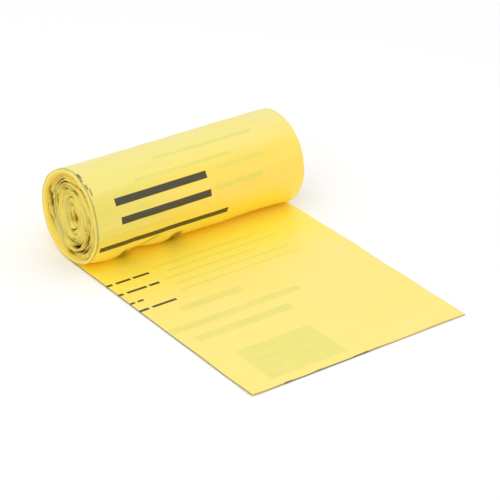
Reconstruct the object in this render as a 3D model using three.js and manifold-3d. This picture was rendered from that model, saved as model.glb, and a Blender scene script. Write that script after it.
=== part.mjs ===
// A coreless roll of yellow plastic-film bags, lying on a level surface with its free end pulled out flat.
// The bags are one continuous web: a flattened film tube folded in three lengthways, so six plies deep.
// Millimetres. +X runs along the roll, the free end runs out to -Y, +Z is up, and Z = 0 is the surface below.
// The origin is at the middle of the footprint.
import * as THREE from "three";
import { mergeVertices } from "three/addons/utils/BufferGeometryUtils.js";
import Module from "manifold-3d";

// The folded web, and how far its cut edge lies from the roll's axis
const webWidth = 254;
const webThickness = 0.8;
const freeLength = 303;

// The wound roll, which its own weight has pressed a little oval, with a flat under it
const rollBreadth = 100;
const rollHeight = 95;
const restHalfWidth = 9;
const rimRadius = 3.5;

// The turns on each end: film clings together in bundles, with an open gap between them
const bundlePitch = 4.6;
const gapWidth = 0.9;
const gapDepth = 4;

// The inner turns sit back from the outer ones, and the roll has no core: its bore is a narrow pressed oval
const dishDepth = 4.5;
const lipWidth = 6.5;
const boreBreadth = 7;
const boreHeight = 11;
const boreSegments = 12;

// Slack film low on the front: each buckle's distance from the -X end, its half length and its lift
const buckles = [
  { fromEnd: 39, reach: 18, lift: 2.2 },
  { fromEnd: 79, reach: 24, lift: 3 },
  { fromEnd: 190, reach: 40, lift: 1.2 },
];
const buckleAngle = -118;
const buckleSpread = 34;

// Fineness of the mesh
const rollSegments = 52;
const rollSteps = 20;
const rimSegments = 3;
const gapStep = 9;
const overcut = 5;

const halfBreadth = rollBreadth / 2;
const halfHeight = rollHeight / (1 + Math.sqrt(1 - (restHalfWidth / halfBreadth) ** 2));
const axisHeight = rollHeight - halfHeight;
const rollRadius = (halfBreadth + halfHeight) / 2;
const axisY = (freeLength - halfBreadth) / 2;
const bottom = -Math.PI / 2;

const wasm = await Module();
wasm.setup();

function toSolid(geometry) {
  const bare = geometry.clone();
  bare.deleteAttribute("normal");
  bare.deleteAttribute("uv");
  const merged = mergeVertices(bare, 1e-4);
  return new wasm.Manifold(
    new wasm.Mesh({
      numProp: 3,
      vertProperties: new Float32Array(merged.attributes.position.array),
      triVerts: new Uint32Array(merged.index.array),
    }),
  );
}

function toGeometry(solid) {
  const mesh = solid.getMesh();
  const geometry = new THREE.BufferGeometry();
  geometry.setAttribute("position", new THREE.BufferAttribute(mesh.vertProperties, 3));
  geometry.setIndex(new THREE.BufferAttribute(mesh.triVerts, 1));
  geometry.computeVertexNormals();
  return geometry;
}

// Extrudes a section drawn in Y and Z along X, from startX.
function alongRoll(section, startX, length, options = {}) {
  const geometry = new THREE.ExtrudeGeometry(section, { depth: length, bevelEnabled: false, ...options });
  const turned = new THREE.Matrix4().makeBasis(
    new THREE.Vector3(0, 1, 0),
    new THREE.Vector3(0, 0, 1),
    new THREE.Vector3(1, 0, 0),
  );
  return geometry.applyMatrix4(turned).translate(startX, 0, 0);
}

// A point in the roll's oval section at an angle, depth millimetres inside its outer surface.
function ovalPoint(angle, depth) {
  const share = 1 - depth / rollRadius;
  return new THREE.Vector2(
    axisY + halfBreadth * share * Math.cos(angle),
    axisHeight + halfHeight * share * Math.sin(angle),
  );
}

// The roll's outline: full size up the back to the top, then down the front to one web thickness further in.
function rollSection(inset) {
  const points = [];
  for (let i = 0; i < rollSegments; i++) {
    const turn = i / rollSegments;
    const stepIn = Math.max(0, 2 * turn - 1) * webThickness;
    const point = ovalPoint(bottom + turn * 2 * Math.PI, inset + stepIn);
    point.y = Math.max(point.y, inset);
    points.push(point);
  }
  return new THREE.Shape(points);
}

// How far the slack film stands off the roll, at a distance from the -X end and an angle round it.
function slackAt(fromEnd, angle) {
  const round = (THREE.MathUtils.radToDeg(angle) - buckleAngle) / buckleSpread;
  if (Math.abs(round) >= 1) return 0;
  let lift = 0;
  for (const buckle of buckles) {
    const along = (fromEnd - buckle.fromEnd) / buckle.reach;
    if (Math.abs(along) < 1) lift += buckle.lift * Math.cos((along * Math.PI) / 2) ** 2;
  }
  return lift * Math.cos((round * Math.PI) / 2) ** 2;
}

// Pushes the roll's surface out where its film is slack, and no lower than the free end under it.
function addSlack(geometry) {
  const position = geometry.attributes.position;
  for (let i = 0; i < position.count; i++) {
    const y = position.getY(i) - axisY;
    const z = position.getZ(i) - axisHeight;
    const lift = slackAt(position.getX(i) + webWidth / 2, Math.atan2(z, y)) / Math.hypot(y, z);
    if (lift === 0) continue;
    const lifted = axisHeight + z * (1 + lift);
    position.setY(i, axisY + y * (1 + lift));
    position.setZ(i, Math.max(lifted, Math.min(position.getZ(i), webThickness / 2)));
  }
  return geometry;
}

// The wound film with soft round rims, before its ends are cut.
function rollBody() {
  const straight = webWidth - 2 * rimRadius;
  const geometry = alongRoll(rollSection(rimRadius), -straight / 2, straight, {
    steps: rollSteps,
    bevelEnabled: true,
    bevelThickness: rimRadius,
    bevelSize: rimRadius,
    bevelSegments: rimSegments,
  });
  return toSolid(addSlack(geometry));
}

// The free end, flat from its cut edge to where it climbs the back of the roll.
function freeEnd() {
  const section = new THREE.Shape();
  section.moveTo(axisY - freeLength, 0);
  section.lineTo(axisY + restHalfWidth, 0);
  section.lineTo(axisY + restHalfWidth, webThickness);
  section.lineTo(axisY - freeLength, webThickness);
  return toSolid(alongRoll(section, -webWidth / 2, webWidth));
}

// The open gap between the bundles: it starts where the free end parts from the roll and winds in to the bore.
function gapSection() {
  const boreRadius = Math.max(boreBreadth, boreHeight) / 2;
  const outer = [];
  const inner = [];
  let turn = 1;
  let depth = webThickness;
  while (rollRadius - depth > boreRadius) {
    const angle = bottom + turn * 2 * Math.PI;
    outer.push(ovalPoint(angle, depth));
    inner.push(ovalPoint(angle, depth + gapWidth));
    const stepAngle = THREE.MathUtils.clamp(gapStep / (rollRadius - depth), Math.PI / 12, Math.PI / 6);
    turn += stepAngle / (2 * Math.PI);
    depth = webThickness + (turn - 1) * bundlePitch;
  }
  return new THREE.Shape([...outer, ...inner.reverse()]);
}

// What is cut from one end: a shallow dish and the spiral gap. side is -1 or 1.
function endCut(side) {
  const face = (side * webWidth) / 2;
  const dishRadius = rollRadius - lipWidth;
  const dish = new THREE.LatheGeometry(
    [
      new THREE.Vector2(0, -dishDepth),
      new THREE.Vector2(dishRadius * 0.6, -dishDepth * 0.8),
      new THREE.Vector2(dishRadius, 0),
      new THREE.Vector2(dishRadius, overcut),
      new THREE.Vector2(0, overcut),
    ],
    rollSegments / 2,
  );
  dish.rotateZ((-side * Math.PI) / 2);
  dish.scale(1, halfBreadth / rollRadius, halfHeight / rollRadius);
  dish.translate(face, axisY, axisHeight);

  const gapBottom = face - side * (dishDepth + gapDepth);
  const gapLength = dishDepth + gapDepth + overcut;
  const gap = alongRoll(gapSection(), side < 0 ? gapBottom - gapLength : gapBottom, gapLength);
  return toSolid(dish).add(toSolid(gap));
}

// The bore, right through from end to end.
function bore() {
  const length = webWidth + 2 * overcut;
  const hole = new THREE.CylinderGeometry(boreBreadth / 2, boreBreadth / 2, length, boreSegments);
  hole.rotateZ(Math.PI / 2);
  hole.scale(1, 1, boreHeight / boreBreadth);
  hole.translate(0, axisY, axisHeight);
  return toSolid(hole);
}

const yellowFilm = new THREE.MeshStandardMaterial({ color: 0xfbdf55, roughness: 0.42, metalness: 0 });

const wound = rollBody().subtract(endCut(-1)).subtract(endCut(1)).subtract(bore());
const bagRoll = new THREE.Mesh(toGeometry(wound.add(freeEnd())), yellowFilm);
bagRoll.name = "bag_roll";

const part = new THREE.Group();
part.add(bagRoll);

export default part;
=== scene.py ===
# Dresses the roll of yellow film bags: the folded web with its free end, and the wound turns inside it.
# Lengths are in millimetres until a mesh is made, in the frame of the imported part.
import math

import bmesh
import bpy
import numpy as np
from mathutils import Matrix, Vector


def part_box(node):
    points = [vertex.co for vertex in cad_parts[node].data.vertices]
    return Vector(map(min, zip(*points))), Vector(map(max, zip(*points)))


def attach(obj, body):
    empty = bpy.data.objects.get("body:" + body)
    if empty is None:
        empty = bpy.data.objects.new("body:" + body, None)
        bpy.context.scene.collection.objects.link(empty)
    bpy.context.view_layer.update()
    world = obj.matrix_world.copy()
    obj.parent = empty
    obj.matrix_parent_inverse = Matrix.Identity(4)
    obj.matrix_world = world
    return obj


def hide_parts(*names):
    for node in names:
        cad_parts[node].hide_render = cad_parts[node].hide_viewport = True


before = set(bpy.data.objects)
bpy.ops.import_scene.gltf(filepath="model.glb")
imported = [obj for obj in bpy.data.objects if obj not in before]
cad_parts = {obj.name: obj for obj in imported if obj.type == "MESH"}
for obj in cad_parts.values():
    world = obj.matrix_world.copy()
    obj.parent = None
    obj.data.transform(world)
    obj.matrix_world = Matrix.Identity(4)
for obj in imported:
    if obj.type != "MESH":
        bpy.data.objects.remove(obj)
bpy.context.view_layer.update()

MM = 0.001
NODE = "bag_roll"

# The roll and its web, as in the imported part
LOW, HIGH = (np.array(corner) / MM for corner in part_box(NODE))
HALF_WEB = HIGH[0]
ROLL_BREADTH = 100.0
REST_HALF_WIDTH = 9.0
WEB_THICKNESS = 0.8
ROLL_HEIGHT = HIGH[2]
HALF_BREADTH = ROLL_BREADTH / 2
HALF_HEIGHT = ROLL_HEIGHT / (1 + math.sqrt(1 - (REST_HALF_WIDTH / HALF_BREADTH) ** 2))
ROLL_RADIUS = (HALF_BREADTH + HALF_HEIGHT) / 2
AXIS_Y = HIGH[1] - HALF_BREADTH
AXIS_Z = ROLL_HEIGHT - HALF_HEIGHT
CUT_Y = LOW[1]
FREE_LENGTH = AXIS_Y - CUT_Y
ROUND_LENGTH = 2 * math.pi * ROLL_RADIUS

# The folded tube: the outer panel stops short of the fold at the -X end
PANEL_EDGE = -HALF_WEB + 2.5
PANEL_THICKNESS = 0.42
PANEL_STEP = 0.3
FOLD_RADIUS = WEB_THICKNESS / 2

# The wound turns
TURNS = 50
TURN_SEGMENTS = 160
TURN_PROFILE = ((0.0, 0.0), (0.16, 0.75), (0.5, 1.0), (0.86, 0.7))
BORE_BREADTH = 7.0
BORE_HEIGHT = 11.0
LIP_WIDTH = 3.2
DISH_DEPTH = 5.0
RIM_RADIUS = 1.6


def oval(turn, depth=0.0):
    """Points on the roll's section: turn is 0 under the axis, 0.25 at the back, 0.5 on top, 0.75 in front."""
    angle = (turn - 0.25) * 2 * np.pi
    share = 1 - depth / ROLL_RADIUS
    return AXIS_Y + HALF_BREADTH * share * np.cos(angle), AXIS_Z + HALF_HEIGHT * share * np.sin(angle)


def turn_at(degrees):
    """The place round the roll of an angle from +Y (0 is the back, 90 the top, 180 the front)."""
    return ((degrees + 90) % 360) / 360


def degrees_from(turn):
    """The angle of a place round the roll, from -90 under it to 270, with no wrap in between."""
    return turn * 360 - 90


def off_angle(degrees, angle):
    """How far degrees lies from an angle, the short way round."""
    return (degrees - angle + 180) % 360 - 180


def smooth(low, high, value):
    """0 up to low and 1 from high on, with a smooth step between them."""
    t = np.clip((value - low) / (high - low), 0, 1)
    return t * t * (3 - 2 * t)


def bump(distance, reach):
    """1 at distance 0, falling smoothly to 0 at reach."""
    share = np.clip(distance / reach, -1, 1)
    return np.where(np.abs(distance) < reach, np.cos(share * np.pi / 2) ** 2, 0.0)


class Waves:
    """Smooth seeded noise over two coordinates, as a sum of plane waves. longest is one length for each.

    With around, the second coordinate is a share of a turn, and the noise meets itself after a whole turn.
    """

    def __init__(self, seed, longest, count=14, around=False):
        draw = np.random.default_rng(seed)
        angle = draw.uniform(0, 2 * np.pi, count)
        length = np.asarray(longest, float)[:, None] * draw.uniform(0.45, 1.0, count)
        self.u = 2 * np.pi * np.cos(angle) / length[0]
        self.v = 2 * np.pi * np.sin(angle) / length[1]
        if around:
            self.v = np.round(self.v / (2 * np.pi)) * 2 * np.pi
        self.phase = draw.uniform(0, 2 * np.pi, count)
        self.scale = math.sqrt(2 / count)

    def __call__(self, u, v):
        total = 0.0
        for a, b, p in zip(self.u, self.v, self.phase):
            total = total + np.cos(a * u + b * v + p)
        return total * self.scale


# Slack in the outer film

# Each bulge and pocket: place along the roll, angle, half length, half width in degrees, and lift
BULGES = (
    (-100, 240, 30, 30, 3.0),
    (-39, 236, 24, 24, 2.3),
    (35, 241, 85, 30, 2.4),
    (127, 234, 65, 32, 3.0),
    (-25, -42, 60, 26, 1.0),
    (84, -36, 34, 22, 0.8),
)
POCKETS = (
    (-67, 233, 13, 16, -3.0),
    (-23, 232, 6, 12, -1.8),
)

# The crease's points: place along the roll, angle and depth
CREASE = (
    (-87, 236, 2.8),
    (-80, 229, 2.6),
    (-71, 222, 2.2),
    (-62, 217, 1.8),
    (-53, 213, 1.1),
    (-44, 211.5, 0.0),
)
CREASE_WIDTH = 1.5
# The crease's painted shade: its width, its darkness for each millimetre of depth, and its greatest darkness
CREASE_SHADE_WIDTH = 1.25
CREASE_DARKNESS = 0.7
CREASE_DARKEST = 0.9
ARC = math.pi / 180 * ROLL_RADIUS

# Painted shade in the hollows where the slack film folds under: place, angle, half length, half width and
# darkness
HOLLOWS = (
    (-85, 229, 5.0, 8.0, 1.0),
    (-24, 227, 8.0, 8.5, 1.0),
)
# The painted shadows that the hollows throw on the free end: place, distance along the web, half sizes,
# darkness
HOLLOW_SHADES = (
    (-79, 281, 7, 6, 0.5),
    (-20, 283, 9, 6, 0.55),
)

# The -X end flares and its lip curls: reach along the roll, widest angle, half spread and rise
FLARE = (90, 104, 80, 3.6)
LIP_CURL = (5, 108, 62, 2.0)

# Waves in the film, each with its rise, and the finer ones' reach from each end
BAND_RISE = 0.2
RIPPLE_RISE = 0.12
END_RIPPLE_RISE = 0.2
END_REACH = 14
bands = Waves(3, (420, 0.16), 16, around=True)
ripples = Waves(5, (46, 0.22), 18, around=True)
end_ripples = Waves(8, (16, 0.10), 18, around=True)

# The slack starts and ends where the roll rests, at these shares of a turn
SLACK_START = 0.06
SLACK_END = 0.93


def slack(x, turn):
    """How far the outer film stands off the wound oval, in millimetres."""
    degrees = degrees_from(turn)
    near_end = np.exp(-((HALF_WEB - np.abs(x)) / END_REACH) ** 2)
    lift = BAND_RISE * bands(x, turn) + RIPPLE_RISE * ripples(x, turn)
    lift = lift + END_RIPPLE_RISE * near_end * end_ripples(x, turn)
    for reach, angle, spread, rise in (FLARE, LIP_CURL):
        lift = lift + rise * np.exp(-(x + HALF_WEB) / reach) * bump(degrees - angle, spread)
    for at, angle, reach, spread, height in BULGES + POCKETS:
        lift = lift + height * bump(x - at, reach) * bump(degrees - angle, spread)
    return (lift - crease(x, degrees, CREASE_WIDTH)) * smooth(0.0, SLACK_START, turn)


def slack_inside(x, turn):
    """The slack of the turns inside the web, which ends before the web does."""
    return slack(x, turn) * smooth(1.0, SLACK_END, turn)


def crease(x, degrees, width):
    """The crease's depth at a place on the roll, in millimetres."""
    deepest = np.zeros(np.broadcast(x, degrees).shape)
    for (x0, a0, d0), (x1, a1, d1) in zip(CREASE, CREASE[1:]):
        px, pa = x - x0, (degrees - a0) * ARC
        qx, qa = x1 - x0, (a1 - a0) * ARC
        t = np.clip((px * qx + pa * qa) / (qx * qx + qa * qa), 0, 1)
        away = np.hypot(px - t * qx, pa - t * qa)
        deepest = np.maximum(deepest, (d0 + (d1 - d0) * t) * np.exp(-((away / width) ** 2)))
    return deepest


def film_shade(x, s):
    """How much painted shade the film gets in the crease and its hollows and below them on the free end, from
    0 to 1.
    """
    degrees = degrees_from((s - FREE_LENGTH) / ROUND_LENGTH)
    shade = np.minimum(CREASE_DARKEST, CREASE_DARKNESS * crease(x, degrees, CREASE_SHADE_WIDTH))
    for at, angle, length, width, dark in HOLLOWS:
        away = ((x - at) / length) ** 2 + ((degrees - angle) * ARC / width) ** 2
        shade = np.maximum(shade, dark * np.exp(-(away ** 2)))
    for at, along_web, length, width, dark in HOLLOW_SHADES:
        away = ((x - at) / length) ** 2 + ((s - along_web) / width) ** 2
        shade = np.maximum(shade, dark * np.exp(-away))
    return shade


# Making a piece

def face_out(mesh):
    """Turns every face of a closed mesh outwards."""
    shell = bmesh.new()
    shell.from_mesh(mesh)
    bmesh.ops.recalc_face_normals(shell, faces=shell.faces)
    shell.to_mesh(mesh)
    shell.free()


def new_piece(name, points, faces, material, attributes, uvs=None):
    """Makes a piece of the part from points in millimetres, which form one closed mesh."""
    mesh = bpy.data.meshes.new(name)
    mesh.from_pydata((np.asarray(points) * MM).tolist(), [], faces)
    mesh.polygons.foreach_set("use_smooth", np.ones(len(mesh.polygons), bool))
    corner_points = np.empty(len(mesh.loops), int)
    mesh.loops.foreach_get("vertex_index", corner_points)
    if uvs is not None:
        layer = mesh.uv_layers.new(name="web")
        layer.uv.foreach_set("vector", np.asarray(uvs, float)[corner_points].ravel())
    for key, values in attributes.items():
        data = mesh.attributes.new(key, "FLOAT", "POINT").data
        data.foreach_set("value", np.asarray(values, float))
    mesh.materials.append(material)
    mesh.validate()
    face_out(mesh)
    piece = bpy.data.objects.new(name, mesh)
    bpy.context.collection.objects.link(piece)
    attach(piece, "root")
    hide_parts(NODE)
    return piece


def tube_faces(rows, columns):
    """Quads over a grid of points stored row by row, closed from each row's last point to its first."""
    r, c = (a.ravel() for a in np.meshgrid(np.arange(rows - 1), np.arange(columns), indexing="ij"))
    c1 = (c + 1) % columns
    quads = np.stack([r * columns + c, r * columns + c1, (r + 1) * columns + c1, (r + 1) * columns + c], 1)
    return quads.tolist()


# Materials

def node_tree(name):
    material = bpy.data.materials.new(name)
    material.use_nodes = True
    tree = material.node_tree
    shader = tree.nodes["Principled BSDF"]
    return material, tree, shader


def add(tree, kind, inputs=None, **settings):
    node = tree.nodes.new(kind)
    for key, value in settings.items():
        setattr(node, key, value)
    for key, value in (inputs or {}).items():
        if isinstance(value, bpy.types.NodeSocket):
            tree.links.new(value, node.inputs[key])
        else:
            node.inputs[key].default_value = value
    return node


def calc(tree, operation, *values):
    return add(tree, "ShaderNodeMath", dict(enumerate(values)), operation=operation).outputs[0]


def times(tree, *values):
    """All the values multiplied together."""
    product = values[0]
    for value in values[1:]:
        product = calc(tree, "MULTIPLY", product, value)
    return product


def vector_calc(tree, operation, *values):
    return add(tree, "ShaderNodeVectorMath", dict(enumerate(values)), operation=operation).outputs[0]


def remap(tree, value, low, high, start, end, step="LINEAR"):
    """A value from low to high, made to run from start to end."""
    limits = {0: value, 1: low, 2: high, 3: start, 4: end}
    return add(tree, "ShaderNodeMapRange", limits, interpolation_type=step).outputs[0]


def ramp(tree, value, low, high, start=0.0, end=1.0):
    """A smooth step of a value, from start at low to end at high."""
    return remap(tree, value, low, high, start, end, "SMOOTHSTEP")


def noise(tree, place, scale, detail, roughness=0.5):
    settings = {"Vector": place, "Scale": scale, "Detail": detail, "Roughness": roughness}
    return add(tree, "ShaderNodeTexNoise", settings).outputs[0]


def attribute(tree, name):
    return add(tree, "ShaderNodeAttribute", attribute_name=name).outputs["Fac"]


def mix_colour(tree, factor, a, b):
    return add(tree, "ShaderNodeMix", {0: factor, 6: a, 7: b}, data_type="RGBA").outputs[2]


def layered(tree, base, layers):
    """Lays colours over a base one after another, each through its mask."""
    for mask, colour in layers:
        base = mix_colour(tree, mask, base, colour)
    return base


def bars_mask(tree, place, bars, soft):
    """White inside plain bars. Each bar is its ends across the web and its edges along it, in millimetres."""
    total = 0.0
    for x0, x1, s0, s1 in bars:
        centre = ((x0 + x1) / 2, (s0 + s1) / 2, 0)
        half = ((x1 - x0) / 2, (s1 - s0) / 2, 0)
        off = vector_calc(tree, "ABSOLUTE", vector_calc(tree, "SUBTRACT", place, centre))
        split = add(tree, "ShaderNodeSeparateXYZ", {0: vector_calc(tree, "SUBTRACT", off, half)})
        outside = calc(tree, "MAXIMUM", split.outputs[0], split.outputs[1])
        total = calc(tree, "MAXIMUM", total, ramp(tree, outside, -soft, soft, 1.0, 0.0))
    return total


# The film's colours on the roll, its left and on the free end, and painted light: a painted sheen on the
# roll's top, a painted glow on its lower front, and painted shade with yellow bounce light on the free end
# near the roll
ROLL_YELLOW = (1.0, 0.70, 0.085, 1)
TOP_SHEEN_YELLOW = (0.84, 0.76, 0.23, 1)
LEFT_YELLOW = (0.74, 0.66, 0.115, 1)
# Painted glow: the lower front is a brighter yellow, for light bounced off the free end and through the film
LOW_GLOW_YELLOW = (1.0, 0.80, 0.075, 1)
FREE_YELLOW = (1.0, 0.78, 0.195, 1)
# Painted shade with yellow bounce light: the free end turns a deeper yellow near the roll
JUNCTION_SHADE_YELLOW = (1.0, 0.82, 0.05, 1)
# Pale streaks along the roll: partly the film's uneven tone, partly painted highlight bands
STREAK_SHEEN_YELLOW = (0.97, 0.79, 0.28, 1)
CLOUD_YELLOW = (0.99, 0.77, 0.08, 1)
# The turns' edges, painted shade with warm bounce light on the wall of the dish, and painted shade in the
# depths between them. The olive also gives the print's flecks and the painted shade in the crease
TURN_YELLOW = (0.93, 0.77, 0.14, 1)
PLY_GREEN = (0.62, 0.63, 0.2, 1)
WALL_SHADE_ORANGE = (0.97, 0.62, 0.04, 1)
DEEP_SHADE_YELLOW = (0.86, 0.58, 0.03, 1)
OLIVE = (0.09, 0.08, 0.006, 1)
# The painted shadow line along the free end's edges, and the faint and the dark bars
EDGE_SHADOW_GREY = (0.2, 0.19, 0.13, 1)
GHOST = (0.62, 0.68, 0.13, 1)
BAR_BROWN = (0.02519, 0.02315, 0.01033, 1)


def along(degrees):
    """How far along the web from its cut edge an angle on the roll is, in millimetres."""
    return FREE_LENGTH + turn_at(degrees) * ROUND_LENGTH


# Plain bars on the film. Each is its ends across the web and its edges along the web
LARGE_BARS = (
    (-100, 9, along(141), along(150)),
    (-97, 10, along(164), along(173)),
    (-121, 33, along(197.5), along(206)),
)
FREE_BARS = (
    (-127, -120, 235, 238.5),
    (-116, -99, 235, 238.5),
    (-96, -77, 235, 238.5),
    (-127, -121, 214, 217.5),
    (-117, -94, 214, 217.5),
    (-91, -79, 214, 217.5),
    (-127, -121, 194.5, 197.5),
    (-118, -111, 194.5, 197.5),
    (-127, -116, 178, 181.5),
    (-112, -84, 178, 181.5),
)
# Dark flecks on the cut edge
CUT_FLECKS = (
    (-90, -81, -1, 1.2),
    (-54, -47, -1, 1.0),
    (-10, 8, -1, 1.3),
)
# Dark print flecks near the outer panel's edge, a faint painted shadow line along that edge, and faint
# greenish bars in the film
RIM_FLECKS = (
    (-125.5, -121.5, along(101), along(108)),
    (-125, -123, along(108), along(113)),
    (-124, -122, along(117), along(123)),
    (-122, -120.5, along(123), along(131)),
)
RIM_SHADOW_LINE = ((-125.7, -124.1, along(55), along(232)),)
GHOST_BARS = (
    (-96, 12, along(-8), along(-1)),
    (-90, 14, along(14), along(21)),
    (-60, 75, along(40), along(44)),
    (-72, 40, along(52), along(56)),
    (-66, 62, along(64), along(68)),
    (-40, 82, along(105), along(110)),
    (-70, 47, along(126), along(131)),
    (21, 81, along(138), along(145)),
    (15, 75, along(161), along(168)),
    (-112, 0, 102, 113),
    (-125, 27, 126, 136),
    (-93, -20, 156, 166),
    (-96, -8, 12, 70),
    (-72, 75, 190, 193),
    (-66, 70, 203, 206),
    (-72, 40, 216, 219),
    (-60, 75, 229, 232),
    (-70, 60, 241, 244),
)


# How soft the edges of bars, lines and flecks are, in millimetres, and how much of the dark ones shows
BAR_SOFT = 0.35
BAR_STRENGTH = 0.97
GHOST_SOFT = 1.4
LINE_SOFT = 1.0
FLECK_SOFT = 0.9
FLECK_STRENGTH = 0.85

# The film's grain, drawn out along the roll, and the height that it gives the bump
GRAIN_SCALE = (35, 160, 160)
STREAK_SCALE = (5, 85, 85)
CLOUD_SCALE = 22.0
GRAIN_HEIGHT = 0.0006
WEB_BUMP = 0.35
TURNS_BUMP = 0.3


def film_grain(tree, coords, scale, detail):
    stretched = add(tree, "ShaderNodeMapping", {0: coords, 3: scale}).outputs[0]
    return noise(tree, stretched, 1.0, detail, 0.6)


def film_bump(tree, grain, strength):
    settings = {"Strength": strength, "Distance": GRAIN_HEIGHT, "Height": grain}
    return add(tree, "ShaderNodeBump", settings).outputs[0]


def film_tints(tree, across, down):
    """The film's colours along the free end and round the roll, each after the mask that shows it. Among them
    is painted light: a sheen on the roll's top, a glow on its lower front, and shade with bounce light on the
    free end near the roll.
    """
    near_roll = ramp(tree, down, FREE_LENGTH - 140, FREE_LENGTH - 30)
    on_roll = ramp(tree, down, FREE_LENGTH, FREE_LENGTH + 30)
    low_front = ramp(tree, down, along(170), along(215))
    near_left = ramp(tree, across, 10, -90, 0.0, 0.85)
    above_low = ramp(tree, down, along(205), along(180))
    past_top = ramp(tree, down, along(50), along(110))
    up_back = ramp(tree, down, along(-70), along(20))
    before_front = ramp(tree, down, along(150), along(105), 0.0, 0.85)
    return [
        (near_roll, JUNCTION_SHADE_YELLOW),
        (on_roll, ROLL_YELLOW),
        (low_front, LOW_GLOW_YELLOW),
        (times(tree, near_left, on_roll, above_low, past_top), LEFT_YELLOW),
        (times(tree, up_back, before_front), TOP_SHEEN_YELLOW),
    ]


def edge_shadow_mask(tree, across, down):
    """White where a shadow line is painted along the free end's left, right and cut edge. The cut edge's line
    is fainter away from its middle.
    """
    left = ramp(tree, across, -HALF_WEB + 1.1, -HALF_WEB + 0.4)
    right = ramp(tree, across, HALF_WEB - 0.3, HALF_WEB - 0.1)
    off_middle = calc(tree, "ABSOLUTE", calc(tree, "ADD", across, 40.0))
    cut = times(tree, ramp(tree, down, 1.1, 0.3), ramp(tree, off_middle, 30, 90, 1.0, 0.55))
    edge = calc(tree, "MAXIMUM", calc(tree, "MAXIMUM", left, right), cut)
    return times(tree, edge, ramp(tree, down, FREE_LENGTH + 20, FREE_LENGTH - 10, 0.1, 1.0))


def web_material():
    material, tree, shader = node_tree("printed_film")
    coords = add(tree, "ShaderNodeTexCoord").outputs["Object"]
    place = add(tree, "ShaderNodeUVMap", uv_map="web").outputs[0]
    split = add(tree, "ShaderNodeSeparateXYZ", {0: place})
    across, down = split.outputs[0], split.outputs[1]
    grain = film_grain(tree, coords, GRAIN_SCALE, 5.0)
    # The pale streaks, partly painted highlight bands
    streaks = film_grain(tree, coords, STREAK_SCALE, 4.0)
    cloud = noise(tree, coords, CLOUD_SCALE, 3.0)
    patchy = remap(tree, grain, 0.3, 0.7, 0.35, 0.6)
    ghost = times(tree, bars_mask(tree, place, GHOST_BARS, GHOST_SOFT), patchy)
    # A painted shadow line along the outer panel's edge, and the print's flecks beside it
    rim = times(tree, bars_mask(tree, place, RIM_SHADOW_LINE, LINE_SOFT), patchy)
    flecks = times(tree, bars_mask(tree, place, RIM_FLECKS, FLECK_SOFT), FLECK_STRENGTH)
    dark = bars_mask(tree, place, LARGE_BARS + FREE_BARS + CUT_FLECKS, BAR_SOFT)
    base = layered(tree, FREE_YELLOW, film_tints(tree, across, down) + [
        (ramp(tree, streaks, 0.45, 0.75, 0.0, 0.4), STREAK_SHEEN_YELLOW),
        (remap(tree, cloud, 0.35, 0.7, 0.0, 0.15), CLOUD_YELLOW),
        (ghost, GHOST),
        (calc(tree, "MAXIMUM", rim, flecks), OLIVE),
        (times(tree, dark, BAR_STRENGTH), BAR_BROWN),
        (attribute(tree, "film_shade"), OLIVE),
        (edge_shadow_mask(tree, across, down), EDGE_SHADOW_GREY),
    ])
    tree.links.new(base, shader.inputs["Base Color"])
    tree.links.new(remap(tree, cloud, 0.3, 0.7, 0.34, 0.48), shader.inputs["Roughness"])
    tree.links.new(film_bump(tree, grain, WEB_BUMP), shader.inputs["Normal"])
    shader.inputs["Coat Weight"].default_value = 0.2
    shader.inputs["Coat Roughness"].default_value = 0.3
    return material


def turns_material():
    material, tree, shader = node_tree("wound_film")
    coords = add(tree, "ShaderNodeTexCoord").outputs["Object"]
    hollow = attribute(tree, "hollow")
    # Painted shade: deeper yellow and then olive the deeper a point's hollow, and painted shade with warm
    # bounce light on the dish's wall
    base = layered(tree, TURN_YELLOW, [
        (attribute(tree, "ply_tone"), PLY_GREEN),
        (attribute(tree, "wall"), WALL_SHADE_ORANGE),
        (remap(tree, hollow, 0.0, 2.5, 0.0, 1.0), DEEP_SHADE_YELLOW),
        (remap(tree, hollow, 1.5, 5.0, 0.0, 1.0), OLIVE),
    ])
    tree.links.new(base, shader.inputs["Base Color"])
    grain = film_grain(tree, coords, GRAIN_SCALE, 5.0)
    tree.links.new(film_bump(tree, grain, TURNS_BUMP), shader.inputs["Normal"])
    shader.inputs["Roughness"].default_value = 0.4
    return material


# The folded web

WEB_STEP = 2.8
FINE_STEP = 1.0
ACROSS_STEP = 2.2
FINE_ACROSS = (-92, -6, 1.0)
WEB_LENGTH = FREE_LENGTH + ROUND_LENGTH * 0.965

# The free end floats a little: from these distances before the roll's axis, more at its edges and its cut
FLOAT_FROM, FLOAT_FULL = 18, 60
FLOAT_RISE, FLOAT_SWING = 0.12, 0.16
FLUTTER, FLUTTER_AT_EDGE, FLUTTER_AT_CUT = 0.05, 0.12, 0.16
FLUTTER_MEAN = 0.9
EDGE_REACH = 30
CUT_REACH = 40
float_waves = Waves(21, (150, 130), 14)
edge_waves = Waves(22, (70, 100), 14)

# The outer panel's edge wanders: sizes, lengths and phases
PANEL_WANDER = ((0.5, 47, 0), (0.35, 13, 1))


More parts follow.
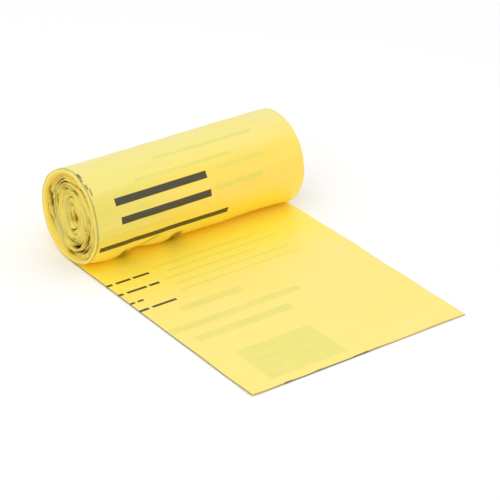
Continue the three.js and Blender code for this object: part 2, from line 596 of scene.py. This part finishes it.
def web_path(s, x):
    """The web's inner and outer face at s along it and x across it: two arrays of y and z."""
    turn = np.clip((s - FREE_LENGTH) / ROUND_LENGTH, 0, 1)
    on_roll = s > FREE_LENGTH
    depth = np.maximum(0, 2 * turn - 1) * WEB_THICKNESS - slack(x, turn)
    roll_outer_y, roll_outer_z = oval(turn, depth)
    roll_inner_y, roll_inner_z = oval(turn, depth + WEB_THICKNESS)
    flat_y = CUT_Y + s
    away = smooth(FREE_LENGTH - FLOAT_FROM, FREE_LENGTH - FLOAT_FULL, s)
    at_edge = smooth(HALF_WEB - EDGE_REACH, HALF_WEB, np.abs(x))
    at_cut = smooth(CUT_REACH, 0, s)
    flutter = FLUTTER + FLUTTER_AT_EDGE * at_edge + FLUTTER_AT_CUT * at_cut
    wave = FLOAT_RISE + FLOAT_SWING * float_waves(x, s) + flutter * (FLUTTER_MEAN + edge_waves(x, s))
    lifted = np.maximum(0, wave) * away
    outer_y = np.where(on_roll, roll_outer_y, flat_y)
    outer_z = np.where(on_roll, np.maximum(roll_outer_z, 0), lifted)
    inner_y = np.where(on_roll, roll_inner_y, flat_y)
    inner_z = np.where(on_roll, np.maximum(roll_inner_z, WEB_THICKNESS), lifted + WEB_THICKNESS)
    return (inner_y, inner_z), (outer_y, outer_z)


def across_profile():
    """The folded web's closed outline: x across it, and 0 on its inner face to 1 on its outer face."""
    fine_low, fine_high, fine_step = FINE_ACROSS
    straight = HALF_WEB - FOLD_RADIUS
    inner_xs = np.linspace(-straight, straight, int(2 * HALF_WEB / ACROSS_STEP))
    outside_fine = inner_xs[(inner_xs < fine_low) | (inner_xs > fine_high)]
    outer_xs = np.sort(np.concatenate([outside_fine, np.arange(fine_low, fine_high, fine_step)]))
    panel = PANEL_THICKNESS / WEB_THICKNESS
    fold = (WEB_THICKNESS - PANEL_THICKNESS) / 2

    profile = [(x, 0.0) for x in inner_xs]
    profile += [(straight + FOLD_RADIUS * math.sin(share * math.pi), share) for share in (0.15, 0.5, 0.85)]
    profile += [(x, 1.0) for x in outer_xs[::-1] if x > PANEL_EDGE + 1]
    profile += [(PANEL_EDGE + 0.2, 1.0), (PANEL_EDGE, 1 - panel / 2), (PANEL_EDGE + 0.1, 1 - panel)]
    profile += [(x, 1 - panel) for x in np.linspace(PANEL_EDGE - 1.2, -HALF_WEB + fold, 4)]
    for share in (0.8, 0.5, 0.2):
        profile.append((-HALF_WEB + fold - fold * math.sin(share * math.pi), share * (1 - panel)))
    return np.array(profile)


def make_web(material):
    profile = across_profile()
    fine_from, fine_to = along(205), along(248)
    stretches = ((0, fine_from, WEB_STEP), (fine_from, fine_to, FINE_STEP), (fine_to, WEB_LENGTH, WEB_STEP))
    s_values = np.concatenate([np.arange(a, b, step) for a, b, step in stretches] + [[WEB_LENGTH]])
    s, x = np.meshgrid(s_values, profile[:, 0], indexing="ij")
    depth = np.broadcast_to(profile[:, 1], s.shape)
    wander = sum(size * np.sin(s / length + phase) for size, length, phase in PANEL_WANDER)
    x = x + wander * (np.abs(x - PANEL_EDGE) < 0.5)
    (inner_y, inner_z), (outer_y, outer_z) = web_path(s, x)
    y = inner_y + (outer_y - inner_y) * depth
    z = inner_z + (outer_z - inner_z) * depth
    points = np.stack([x, y, z], 2).reshape(-1, 3)
    uvs = np.stack([x, s], 2).reshape(-1, 2)
    rows, columns = s.shape
    faces = tube_faces(rows, columns)
    faces.append(list(range(columns))[::-1])
    faces.append(list(range((rows - 1) * columns, rows * columns)))
    seen = (depth > 0.5) | (s < FREE_LENGTH)
    shade = film_shade(x, s) * seen
    return new_piece("folded_web", points, faces, material, {"film_shade": shade.ravel()}, uvs)


# The wound turns

# Open gaps between bundles of turns on the -X end: angle, half spread in degrees, radius, width and depth
LEFT_GAPS = (
    (19, 24, 31.0, 2.2, 13),
    (357, 28, 38.5, 1.8, 12),
    (10, 22, 42.0, 1.2, 9),
    (338, 24, 42.5, 1.0, 8),
    (340, 42, 9.5, 1.6, 10),
    (103, 28, 28.5, 1.6, 9),
    (298, 20, 23.0, 1.3, 10),
    (257, 27, 30.0, 1.9, 7),
    (275, 16, 41.0, 1.8, 8),
    (206, 18, 31.5, 1.4, 10),
    (330, 30, 15.0, 1.1, 8),
    (150, 42, 38.5, 1.1, 6),
    (70, 22, 27.0, 1.0, 7),
    (232, 24, 36.5, 0.9, 6),
    (170, 26, 24.0, 0.9, 6),
    (318, 18, 34.0, 0.9, 7),
    (20, 25, 20.5, 0.9, 7),
    (281, 22, 14.0, 1.7, 11),
)
# The same on the +X end
RIGHT_GAPS = (
    (32, 26, 33.0, 1.4, 10),
    (150, 30, 27.0, 1.5, 10),
    (205, 22, 38.0, 1.3, 10),
    (262, 25, 24.0, 1.5, 11),
    (285, 20, 40.5, 1.5, 10),
    (95, 24, 39.0, 1.2, 8),
    (338, 28, 19.0, 1.1, 8),
    (110, 20, 17.0, 1.0, 7),
    (8, 30, 25.5, 0.9, 6),
    (240, 20, 31.5, 1.0, 8),
    (60, 25, 41.0, 0.9, 6),
)


# Each end's seed, and its many slighter gaps: how many, and the ranges that they are drawn from. Every gap
# sways along its turn by GAP_SWAY
LEFT_SEED, RIGHT_SEED = 41, 57
SLIGHT_GAPS = 34
SLIGHT_SPREAD = (14, 46)
SLIGHT_RADIUS = (9, 41)
SLIGHT_WIDTH = (0.5, 0.95)
SLIGHT_DEPTH = (3.5, 8)
GAP_SWAY = 1.2

# How far turns stray along the roll, alone and with their bundle, and between how many knots round a turn
STRAY_KNOTS = 8
BUNDLE_TURNS = 5
STRAY_ALONE = 0.6
STRAY_TOGETHER = 0.9

# The lip is flat at first and narrower in front, and the middle of the end is drawn in. The painted shade
# with warm bounce light on the wall inside the lip is fainter in front
LIP_NARROWS, LIP_NARROW_AT, LIP_NARROW_SPREAD = 1.0, 215, 120
LIP_FLAT = 1.4
CENTRE_PULL = 5.0
WALL_DIM, WALL_DIM_AT, WALL_DIM_SPREAD = 0.7, 225, 150
WALL_SHADE_STRENGTH = 0.8


def strays(draw, turn_number, theta):
    """How far each turn wanders along the roll by itself, and together with its neighbours in a bundle."""
    alone = draw.normal(0, 1, (TURNS + 3, STRAY_KNOTS + 1))
    bundles = draw.normal(0, 1, (TURNS // BUNDLE_TURNS + 2, STRAY_KNOTS + 1))
    together = np.repeat(bundles, BUNDLE_TURNS, axis=0)
    cell = theta / (2 * np.pi) * STRAY_KNOTS
    knot = np.floor(cell).astype(int)
    blend = smooth(0, 1, cell - knot)
    knot = np.broadcast_to(knot, turn_number.shape)

    def at_knot(table, k):
        return table[turn_number + (k >= STRAY_KNOTS), k % STRAY_KNOTS]

    def blended(table):
        return at_knot(table, knot) * (1 - blend) + at_knot(table, knot + 1) * blend

    return blended(alone), blended(together)


def slight_gaps(draw):
    low, high = SLIGHT_RADIUS
    return list(zip(
        draw.uniform(0, 360, SLIGHT_GAPS),
        draw.uniform(*SLIGHT_SPREAD, SLIGHT_GAPS),
        np.sqrt(draw.uniform(low ** 2, high ** 2, SLIGHT_GAPS)),
        draw.uniform(*SLIGHT_WIDTH, SLIGHT_GAPS),
        draw.uniform(*SLIGHT_DEPTH, SLIGHT_GAPS),
    ))


def gap_depth(radius, degrees, gaps):
    """How deep the gaps between the bundles are at each point of an end."""
    depth = 0.0
    for angle, spread, at, width, deep in gaps:
        off = off_angle(degrees, angle)
        along_gap = bump(off, spread)
        centre = at + GAP_SWAY * np.sin(np.radians(off) * 3)
        open_width = width * np.sqrt(along_gap) + 1e-6
        across_gap = np.exp(-(((radius - centre) / open_width) ** 4))
        depth = depth + deep * along_gap ** 0.6 * across_gap
    return depth


def pressed(radius, theta, side, flare, bore_radius):
    """The y and z of an end's points: oval outside, and pressed taller and narrower towards the middle."""
    press = smooth(ROLL_RADIUS, bore_radius, radius)
    broad, high = HALF_BREADTH / ROLL_RADIUS, HALF_HEIGHT / ROLL_RADIUS
    stretch_y = broad + (BORE_BREADTH / 2 / bore_radius - broad) * press
    stretch_z = high + (BORE_HEIGHT / 2 / bore_radius - high) * press
    lobes = (
        np.sin(3 * theta + 1.3 * side + radius / 15)
        + np.sin(2 * theta + radius / 7)
        + 0.6 * np.sin(5 * theta + radius / 4)
    )
    reach = radius * (1 + 0.04 * press * lobes) + flare
    angle = theta - np.pi / 2
    return AXIS_Y + reach * stretch_y * np.cos(angle), AXIS_Z + reach * stretch_z * np.sin(angle)


def end_points(side, seed, gaps):
    """An end of the wound turns as one spiral strip: its points, and their hollow and wall, which set painted
    shade, and their ply tone.
    """
    draw = np.random.default_rng(seed)
    index = np.arange((TURNS + 1) * TURN_SEGMENTS + 1)[:, None]
    phase, height = np.array(TURN_PROFILE).T[:, None, :]
    wound = index / TURN_SEGMENTS + phase
    theta = (index % TURN_SEGMENTS) / TURN_SEGMENTS * 2 * np.pi
    degrees = np.degrees(theta) - 90
    bore_radius = (BORE_BREADTH + BORE_HEIGHT) / 4
    outer = ROLL_RADIUS - PANEL_THICKNESS - RIM_RADIUS
    depth_in = (outer - bore_radius) * np.clip(wound / (TURNS + 1), 0, 1)
    radius = outer - depth_in

    # The dish inside the lip, and the turns' own edges
    turn_number = np.clip(np.floor(wound).astype(int), 0, TURNS + 1)
    alone, together = strays(draw, turn_number, theta)
    lip = LIP_WIDTH - LIP_NARROWS * bump(off_angle(degrees, LIP_NARROW_AT), LIP_NARROW_SPREAD)
    inward = smooth(lip - 1.5, lip + 2, depth_in)
    dish = DISH_DEPTH * smooth(LIP_FLAT, lip + 1.5, depth_in) * (0.8 + 0.2 * smooth(12, 40, depth_in))
    stray = (0.15 + 0.85 * inward) * (STRAY_ALONE * alone + STRAY_TOGETHER * together)
    edges = (1 - height) * (0.3 + 1.2 * inward)

    # Gaps where bundles part, the ones seen in front of many slighter ones
    gap = gap_depth(radius, degrees, [*gaps, *slight_gaps(draw)])
    sink = dish + stray + edges + gap + CENTRE_PULL * smooth(16, 3, radius)
    # How far each point lies between turns, in gaps and near the middle: this sets the painted shade of its
    # hollow
    between_turns = (1 - height) * (0.6 + 1.6 * inward * smooth(-0.6, 1.4, alone + together))
    hollow = between_turns + gap + 3.0 * smooth(8, 4, radius)

    turn = theta / (2 * np.pi)
    flare = slack_inside(np.full_like(radius, side * HALF_WEB), turn) * smooth(12, 0, depth_in)
    y, z = pressed(radius, theta, side, flare, bore_radius)
    x = side * (HALF_WEB - np.maximum(sink, 0))
    # Where the painted shade with warm bounce light on the dish's wall falls, fainter in front
    on_wall = smooth(1.5, 3.5, depth_in) * smooth(lip + 3.5, lip + 1.0, depth_in)
    wall = WALL_SHADE_STRENGTH * on_wall * (1 - WALL_DIM * bump(off_angle(degrees, WALL_DIM_AT), WALL_DIM_SPREAD))
    tone = np.clip(0.25 + 0.3 * together + 0.15 * alone, 0, 0.8) * inward
    return np.stack([x, y, z], 2), np.stack([hollow, tone, wall], 2)


class Shell:
    """Collects the points and faces of one mesh, with each point's hollow and wall, which set painted shade,
    and its ply tone.
    """

    def __init__(self):
        self.points, self.looks, self.faces = [], [], []
        self.count = 0

    def put(self, points, look):
        """Adds points and gives the first one's number."""
        first = self.count
        self.points.append(points.reshape(-1, 3))
        self.looks.append(np.broadcast_to(look, points.shape).reshape(-1, 3))
        self.count += len(self.points[-1])
        return first

    def put_rings(self, rings, look):
        """Adds rings of points, given as x, y and z, with the faces from each one to the next."""
        firsts = [self.put(np.stack([np.full(len(y), x), y, z], 1), look) for x, y, z in rings]
        j = np.arange(TURN_SEGMENTS)
        j1 = (j + 1) % TURN_SEGMENTS
        for a, b in zip(firsts, firsts[1:]):
            self.faces.extend(np.stack([b + j, b + j1, a + j1, a + j], 1).tolist())
        return firsts


def put_end(shell, side, seed, gaps):
    """Adds one end's spiral strip. Gives the first numbers of its points, its tail and its last profile."""
    steps, segments, profile = TURNS * TURN_SEGMENTS, TURN_SEGMENTS, len(TURN_PROFILE)
    grid, look = end_points(side, seed, gaps)
    strip = shell.put(grid[:steps], look[:steps])
    tail = shell.put(grid[steps:, 0], look[steps:, 0])
    last = shell.put(grid[steps, 1:], look[steps, 1:])

    def number(i, k):
        """The number of a point, where each turn's last point is the next turn's first."""
        i, k = np.where(k == profile, i + segments, i), np.where(k == profile, 0, k)
        past_strip = np.where(k == 0, tail + i - steps, last + k - 1)
        return np.where(i < steps, strip + i * profile + k, past_strip)

    i, k = (a.ravel() for a in np.meshgrid(np.arange(steps), np.arange(profile), indexing="ij"))
    quads = np.stack([number(i, k), number(i, k + 1), number(i + 1, k + 1), number(i + 1, k)], 1)
    shell.faces.extend((quads if side < 0 else quads[:, ::-1]).tolist())
    return strip, tail, last


def join_end(shell, side, end, ring, wall):
    """Joins an end's outer edge to the body's ring, and its inner edge to the bore's wall."""
    strip, tail, last = end
    segments, profile = TURN_SEGMENTS, len(TURN_PROFILE)
    outer = [strip + k * profile for k in range(segments + 1)]
    inner = [tail + k for k in range(segments + 1)]
    faces = [[ring + k, outer[k], outer[k + 1], ring + k + 1] for k in range(segments - 1)]
    first_profile = [strip + k for k in range(profile)]
    faces.append([ring + segments - 1, outer[-2], outer[-1]] + first_profile[::-1] + [ring])
    faces += [[inner[k], wall + k, wall + k + 1, inner[k + 1]] for k in range(segments - 1)]
    last_profile = [last + k for k in range(profile - 1)]
    faces.append([inner[-2], wall + segments - 1, wall, inner[0]] + last_profile + [inner[-1]])
    shell.faces.extend(faces if side < 0 else [face[::-1] for face in faces])


# The rings of the turns' body between its rims, and of the bore, which starts well inside each end
BODY_RINGS = 50
RIM_ANGLES = np.radians((30, 60, 90))
BORE_RINGS = 12
BORE_INSET = 16
# The bore's hollow, ply tone and wall: its hollow paints the bore olive, as painted shade
BORE_LOOK = (8.0, 0.5, 0.0)
UNDER_CLEARANCE = 0.1


def body_rings(turn):
    """The rings round the wound turns from one end's rim to the other's."""
    rim_x = [-HALF_WEB + RIM_RADIUS * (1 - math.cos(a)) for a in RIM_ANGLES]
    rim_inset = [RIM_RADIUS * (1 - math.sin(a)) for a in RIM_ANGLES]
    inner_x = list(np.linspace(rim_x[-1], -rim_x[-1], BODY_RINGS)[1:-1])
    ring_x = rim_x + inner_x + [-x for x in rim_x[::-1]]
    ring_inset = rim_inset + [0.0] * len(inner_x) + rim_inset[::-1]
    step_in = np.maximum(0, 2 * turn - 1) * WEB_THICKNESS
    for x, inset in zip(ring_x, ring_inset):
        y, z = oval(turn, PANEL_THICKNESS + PANEL_STEP + inset + step_in - slack_inside(x, turn))
        yield x, y, np.maximum(z, WEB_THICKNESS + UNDER_CLEARANCE + inset * 0.5)


def bore_rings(turn):
    """The rings of the bore from end to end."""
    angle = turn * 2 * np.pi - np.pi / 2
    for x in np.linspace(-HALF_WEB + BORE_INSET, HALF_WEB - BORE_INSET, BORE_RINGS):
        wobble = 0.8 + 0.12 * np.sin(3 * angle + x / 20) + 0.08 * np.sin(5 * angle + x / 9)
        y = AXIS_Y + BORE_BREADTH / 2 * wobble * np.cos(angle)
        yield x, y, AXIS_Z + BORE_HEIGHT / 2 * wobble * np.sin(angle)


def make_turns(material):
    shell = Shell()
    left = put_end(shell, -1, LEFT_SEED, LEFT_GAPS)
    right = put_end(shell, 1, RIGHT_SEED, RIGHT_GAPS)
    turn = np.arange(TURN_SEGMENTS) / TURN_SEGMENTS
    rings = shell.put_rings(body_rings(turn), 0.0)
    walls = shell.put_rings(bore_rings(turn), BORE_LOOK)
    join_end(shell, -1, left, rings[0], walls[0])
    join_end(shell, 1, right, rings[-1], walls[-1])
    looks = dict(zip(("hollow", "ply_tone", "wall"), np.concatenate(shell.looks).T))
    return new_piece("wound_turns", np.concatenate(shell.points), shell.faces, material, looks)


# The floor, the light and the camera

FLOOR_HALF = 6.0
FLOOR_DROP = 0.0002
FLOOR_TONES = ((0.965, 0.965, 0.97, 1), (0.98, 0.98, 0.98, 1))
WORLD_STRENGTH = 0.92

# Each light's name, place, target, size and power
LIGHTS = (
    ("overhead", (-0.3, -0.2, 1.6), (0, 0, 0.03), (1.6, 1.2), 4.5),
    ("left_fill", (-1.3, -1.0, 0.8), (0, 0, 0.04), (1.0, 0.8), 2.5),
)


def make_floor():
    material, tree, shader = node_tree("pale_floor")
    coords = add(tree, "ShaderNodeTexCoord").outputs["Object"]
    tone = mix_colour(tree, noise(tree, coords, 3.0, 2.0), *FLOOR_TONES)
    tree.links.new(tone, shader.inputs["Base Color"])
    shader.inputs["Roughness"].default_value = 0.9
    mesh = bpy.data.meshes.new("floor")
    corners = [(x * FLOOR_HALF, y * FLOOR_HALF, 0) for x, y in ((-1, -1), (1, -1), (1, 1), (-1, 1))]
    mesh.from_pydata(corners, [], [(0, 1, 2, 3)])
    mesh.materials.append(material)
    floor = bpy.data.objects.new("floor", mesh)
    floor.location.z = -FLOOR_DROP
    bpy.context.collection.objects.link(floor)


def area_light(name, place, target, size, power):
    data = bpy.data.lights.new(name, "AREA")
    data.shape = "RECTANGLE"
    data.size, data.size_y = size
    data.energy = power
    light = bpy.data.objects.new(name, data)
    light.location = place
    light.rotation_euler = (Vector(target) - Vector(place)).to_track_quat("-Z", "Y").to_euler()
    bpy.context.collection.objects.link(light)


def make_light():
    """Even white light from all round, and two soft lights that shade the roll a little."""
    scene = bpy.context.scene
    scene.world = bpy.data.worlds.new("studio")
    scene.world.use_nodes = True
    background = scene.world.node_tree.nodes["Background"]
    background.inputs["Color"].default_value = (1, 1, 1, 1)
    background.inputs["Strength"].default_value = WORLD_STRENGTH
    for light in LIGHTS:
        area_light(*light)
    scene.view_settings.view_transform = "Standard"
    scene.view_settings.look = "None"
    scene.cycles.max_bounces = 14
    scene.cycles.diffuse_bounces = 12


# The camera, fitted to the roll's and the free end's outlines
CAMERA_AZIMUTH, CAMERA_ELEVATION, CAMERA_ROLL = -37.2735, 28.9504, 1.4019
CAMERA_PLACE = (-1143.33, -1503.38, 1074.66)
FOCAL_PIXELS = 2216.66
PICTURE_PIXELS = 500
SENSOR_MM = 36


def make_camera():
    a, e, r = (math.radians(v) for v in (CAMERA_AZIMUTH, CAMERA_ELEVATION, CAMERA_ROLL))
    back = Vector((math.sin(a) * math.cos(e), -math.cos(a) * math.cos(e), math.sin(e)))
    level = Vector((math.cos(a), math.sin(a), 0))
    upright = back.cross(level)
    right = level * math.cos(r) + upright * math.sin(r)
    up = upright * math.cos(r) - level * math.sin(r)
    data = bpy.data.cameras.new("camera")
    data.sensor_width = SENSOR_MM
    data.lens = FOCAL_PIXELS / PICTURE_PIXELS * SENSOR_MM
    data.clip_end = 30
    camera = bpy.data.objects.new("camera", data)
    turn = Matrix((right, up, back)).transposed().to_4x4()
    turn.translation = Vector(CAMERA_PLACE) * MM
    camera.matrix_world = turn
    bpy.context.collection.objects.link(camera)
    bpy.context.scene.camera = camera


make_camera()
web = make_web(web_material())
turns = make_turns(turns_material())
make_floor()
make_light()
